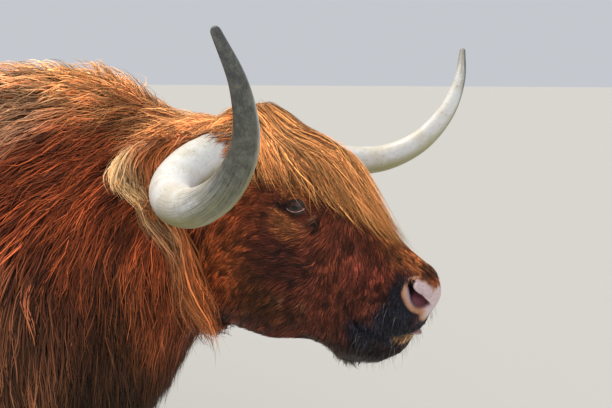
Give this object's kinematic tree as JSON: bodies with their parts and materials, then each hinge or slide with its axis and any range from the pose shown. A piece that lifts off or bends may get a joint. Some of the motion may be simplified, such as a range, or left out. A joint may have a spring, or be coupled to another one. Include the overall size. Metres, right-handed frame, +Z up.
{
  "type": "highland cow",
  "caption": "Life-size still model of a long-haired highland cow standing with a low, turned head, wide upswept horns and a shaggy reddish coat.",
  "frame": {"origin": "middle of the bounding box's footprint, on the floor that the hooves stand on", "axes": "+X forwards along the trunk, +Y to the animal's left, +Z up"},
  "size_m": [2.1444, 1.011, 1.2966],
  "materials": {
    "body_coat": "long shaggy reddish brown hair in locks, golden along the back and dark low down",
    "face_coat": "short flat red-brown hair, golden on the cheek, blue-black round the muzzle",
    "chin_coat": "short dark brown hair with a tan lower lip",
    "top_coat": "long golden hair of the forelock and the ear fringes",
    "horn": "cream horn, finely streaked and pitted, dark grey towards the tip, satin",
    "hoof": "dark ringed hoof horn, worn at the edge",
    "eye": "wet dark eyeball with a brown iris and a level oval pupil",
    "bare_skin": "bare pink skin, moist, speckled grey"
  },
  "bodies": {
    "root": {"trunk": "body_coat", "neck": "body_coat", "head": "face_coat", "jaw": "chin_coat", "tongue": "bare_skin", "eye_right": "eye", "horn_right": "horn", "ear_right": "top_coat", "eye_left": "eye", "horn_left": "horn", "ear_left": "top_coat", "forelock": "top_coat", "foreleg_right": "body_coat", "hoof_foreleg_right_inner": "hoof", "hoof_foreleg_right_outer": "hoof", "hindleg_right": "body_coat", "hoof_hindleg_right_inner": "hoof", "hoof_hindleg_right_outer": "hoof", "foreleg_left": "body_coat", "hoof_foreleg_left_inner": "hoof", "hoof_foreleg_left_outer": "hoof", "hindleg_left": "body_coat", "hoof_hindleg_left_inner": "hoof", "hoof_hindleg_left_outer": "hoof", "tail": "body_coat", "tail_switch": "body_coat", "udder": "bare_skin"}
  },
  "joints": []
}
